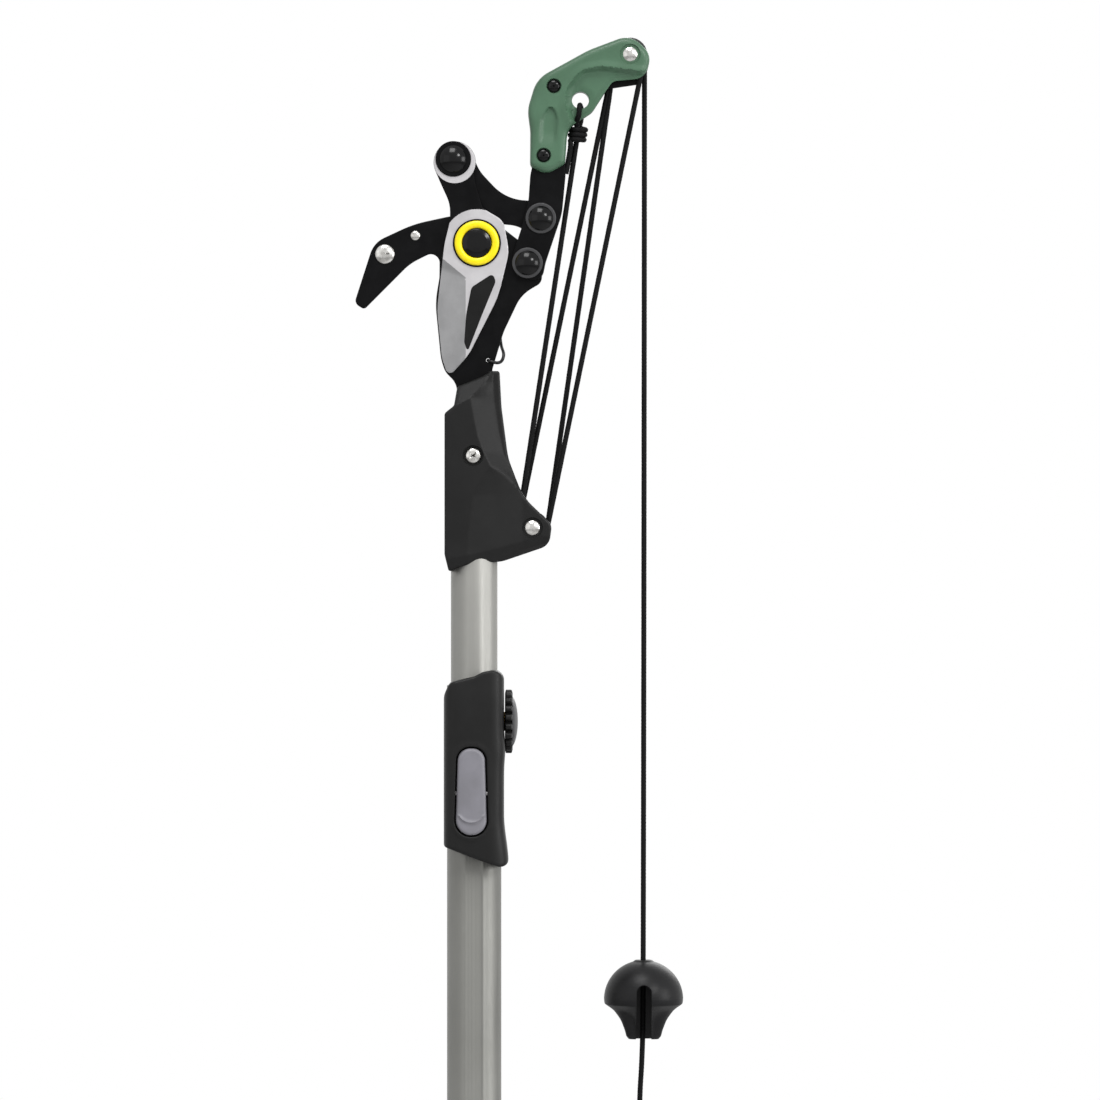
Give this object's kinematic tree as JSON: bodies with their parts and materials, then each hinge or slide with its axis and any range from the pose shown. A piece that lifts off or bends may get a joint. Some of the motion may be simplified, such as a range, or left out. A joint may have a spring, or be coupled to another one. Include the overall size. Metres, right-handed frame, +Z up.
{
  "type": "tree pruner pole",
  "caption": "Telescopic pruning pole with a rope-pulled bypass blade, hook, green lever arm, pulleys, lock button and side clamp",
  "frame": {"origin": "centre of the foot's flat end face, which the pole stands on", "axes": "+Z up the pole, the hook faces -X, the front with the release button faces -Y"},
  "size_m": [0.2114, 0.0603, 1.7205],
  "materials": {
    "anodised_tube": "satin anodised",
    "black_moulding": "fine moulded grain",
    "black_rubber": "dull",
    "button_grey": "smooth satin",
    "green_moulding": "fine moulded grain",
    "black_steel": "satin black coating",
    "bright_steel": "ground",
    "polished_steel": "bright",
    "ring_yellow": "semi gloss",
    "dome_black": "gloss black",
    "brass_bush": "turned",
    "rope_black": "braided",
    "ball_grey": "satin moulded",
    "blade_black": "satin black inlay",
    "sheave_plastic": "smooth nylon",
    "tie_rubber": "dull band"
  },
  "bodies": {
    "lower_pole": {"outer_tube": "anodised_tube", "end_cap": "black_rubber", "lock_housing": "black_moulding", "guide_collar": "black_moulding", "housing_screws": "bright_steel", "rocker_pin": "bright_steel", "rocker_spring": "black_steel", "knob_bush": "brass_bush"},
    "rocker": {"rocker_button": "button_grey", "lock_pin": "bright_steel"},
    "clamp_knob": {"clamp_knob": "black_moulding", "knob_cap": "button_grey", "knob_stud": "bright_steel"},
    "clamp_shoe": {"clamp_shoe": "black_moulding"},
    "head": {"inner_tube": "anodised_tube", "slide_bush": "black_moulding", "head_shell_front": "black_moulding", "head_shell_back": "black_moulding", "head_screws": "polished_steel", "frame_plate": "black_steel", "hook_backing": "black_steel", "hook_rivets": "polished_steel", "pivot_bolt": "dome_black", "pivot_ring": "ring_yellow", "pivot_washer": "black_steel", "pivot_nut": "black_steel", "lever_pin": "dome_black", "lever_pin_washer": "dome_black", "lower_axle": "polished_steel"},
    "lever": {"lever_plate_front": "black_steel", "lever_plate_back": "black_steel", "arm_core": "black_steel", "arm_cover_front": "green_moulding", "arm_cover_back": "green_moulding", "arm_screws": "dome_black", "upper_axle": "polished_steel", "link_pin_lever": "dome_black", "link_pin_lever_washer": "dome_black"},
    "blade": {"blade": "bright_steel", "blade_inlay": "blade_black", "link_pin_blade": "dome_black", "link_pin_blade_washer": "dome_black"},
    "link": {"link_bar": "black_steel"},
    "lower_sheave_front": {"lower_sheave_front": "sheave_plastic"},
    "lower_sheave_back": {"lower_sheave_back": "sheave_plastic"},
    "upper_sheave_front": {"upper_sheave_front": "sheave_plastic"},
    "upper_sheave_back": {"upper_sheave_back": "sheave_plastic"},
    "return_spring": {"return_spring": "black_steel"},
    "tackle": {"rope_strands": "rope_black", "rope_lower_turns": "rope_black"},
    "tackle_top": {"rope_upper_turns": "rope_black"},
    "dead_end": {"rope_dead_end": "rope_black"},
    "rope_knot": {"rope_knot": "rope_black"},
    "rope_fall": {"rope_last_turn": "rope_black", "rope_fall": "rope_black", "rope_hank": "rope_black", "hank_tie": "tie_rubber", "rope_end_knot": "rope_black"},
    "ball_handle": {"ball_handle": "ball_grey"}
  },
  "joints": [
    {"name": "pole_extend", "type": "slide", "parent": "lower_pole", "child": "head", "axis": [0, 0, 1], "range_m": [0, 1]},
    {"name": "rocker_press", "type": "hinge", "parent": "lower_pole", "child": "rocker", "pos_m": [-0.0015, -0.0245, 1.2342], "axis": [1, 0, 0], "range_deg": [0, 7], "stiffness_Nm_per_rad": 4, "springref_deg": -4.58, "deforming": ["rocker_spring"]},
    {"name": "knob_turn", "type": "hinge", "parent": "lower_pole", "child": "clamp_knob", "pos_m": [0.022, 0, 1.2798], "axis": [1, 0, 0], "range_deg": [0, 180]},
    {"name": "shoe_press", "type": "slide", "parent": "lower_pole", "child": "clamp_shoe", "axis": [-1, 0, 0], "range_m": [0, 0.00076]},
    {"name": "lever_pull", "type": "hinge", "parent": "head", "child": "lever", "pos_m": [0.0344, 0, 1.5752], "axis": [0, 1, 0], "range_deg": [0, 76], "stiffness_Nm_per_rad": 1.2, "springref_deg": -34.38, "deforming": ["rope_last_turn"]},
    {"name": "blade_turn", "type": "hinge", "parent": "head", "child": "blade", "pos_m": [0.0018, 0, 1.588], "axis": [0, 1, 0], "range_deg": [0, 52]},
    {"name": "link_swing", "type": "hinge", "parent": "lever", "child": "link", "pos_m": [0.043, 0, 1.604], "axis": [0, 1, 0], "range_deg": [-48, 0]},
    {"name": "tackle_swing", "type": "hinge", "parent": "head", "child": "tackle", "pos_m": [0.0376, 0, 1.4046], "axis": [0, 1, 0], "range_deg": [0, 34.5], "deforming": ["rope_strands"]},
    {"name": "tackle_top_swing", "type": "hinge", "parent": "lever", "child": "tackle_top", "pos_m": [0.1005, 0, 1.7094], "axis": [0, 1, 0], "range_deg": [-42, 0]},
    {"name": "dead_end_swing", "type": "hinge", "parent": "head", "child": "dead_end", "pos_m": [0.0376, 0, 1.4046], "axis": [0, 1, 0], "range_deg": [0, 28], "deforming": ["rope_dead_end"]},
    {"name": "knot_swing", "type": "hinge", "parent": "lever", "child": "rope_knot", "pos_m": [0.0685, 0, 1.68], "axis": [0, 1, 0], "range_deg": [-48.5, 0]},
    {"name": "fall_swing", "type": "hinge", "parent": "lever", "child": "rope_fall", "pos_m": [0.1005, 0, 1.7094], "axis": [0, 1, 0], "range_deg": [-76.5, 0]},
    {"name": "ball_slide", "type": "slide", "parent": "rope_fall", "child": "ball_handle", "axis": [0, 0, 1], "range_m": [0, 0.4]},
    {"name": "spring_swing", "type": "hinge", "parent": "head", "child": "return_spring", "pos_m": [0.0089, 0, 1.5127], "axis": [0, 1, 0], "range_deg": [0, 5.3], "deforming": ["return_spring"]},
    {"name": "lower_sheave_front_spin", "type": "hinge", "parent": "head", "child": "lower_sheave_front", "pos_m": [0.0376, 0, 1.4046], "axis": [0, 1, 0], "continuous": true},
    {"name": "lower_sheave_back_spin", "type": "hinge", "parent": "head", "child": "lower_sheave_back", "pos_m": [0.0376, 0, 1.4046], "axis": [0, 1, 0], "continuous": true},
    {"name": "upper_sheave_front_spin", "type": "hinge", "parent": "lever", "child": "upper_sheave_front", "pos_m": [0.1005, 0, 1.7094], "axis": [0, 1, 0], "continuous": true},
    {"name": "upper_sheave_back_spin", "type": "hinge", "parent": "lever", "child": "upper_sheave_back", "pos_m": [0.1005, 0, 1.7094], "axis": [0, 1, 0], "continuous": true}
  ],
  "couplings": [
    {"joint": "blade_turn", "follows": "lever_pull", "ratio": 0.67751},
    {"joint": "link_swing", "follows": "lever_pull", "ratio": -0.62775},
    {"joint": "tackle_swing", "follows": "lever_pull", "ratio": 0.44958},
    {"joint": "tackle_top_swing", "follows": "lever_pull", "ratio": -0.55042},
    {"joint": "dead_end_swing", "follows": "lever_pull", "ratio": 0.3657},
    {"joint": "knot_swing", "follows": "lever_pull", "ratio": -0.6343},
    {"joint": "fall_swing", "follows": "lever_pull", "ratio": -1},
    {"joint": "spring_swing", "follows": "lever_pull", "ratio": 0.0678},
    {"joint": "shoe_press", "follows": "knob_turn", "m_per_rad": 0.00024}
  ]
}
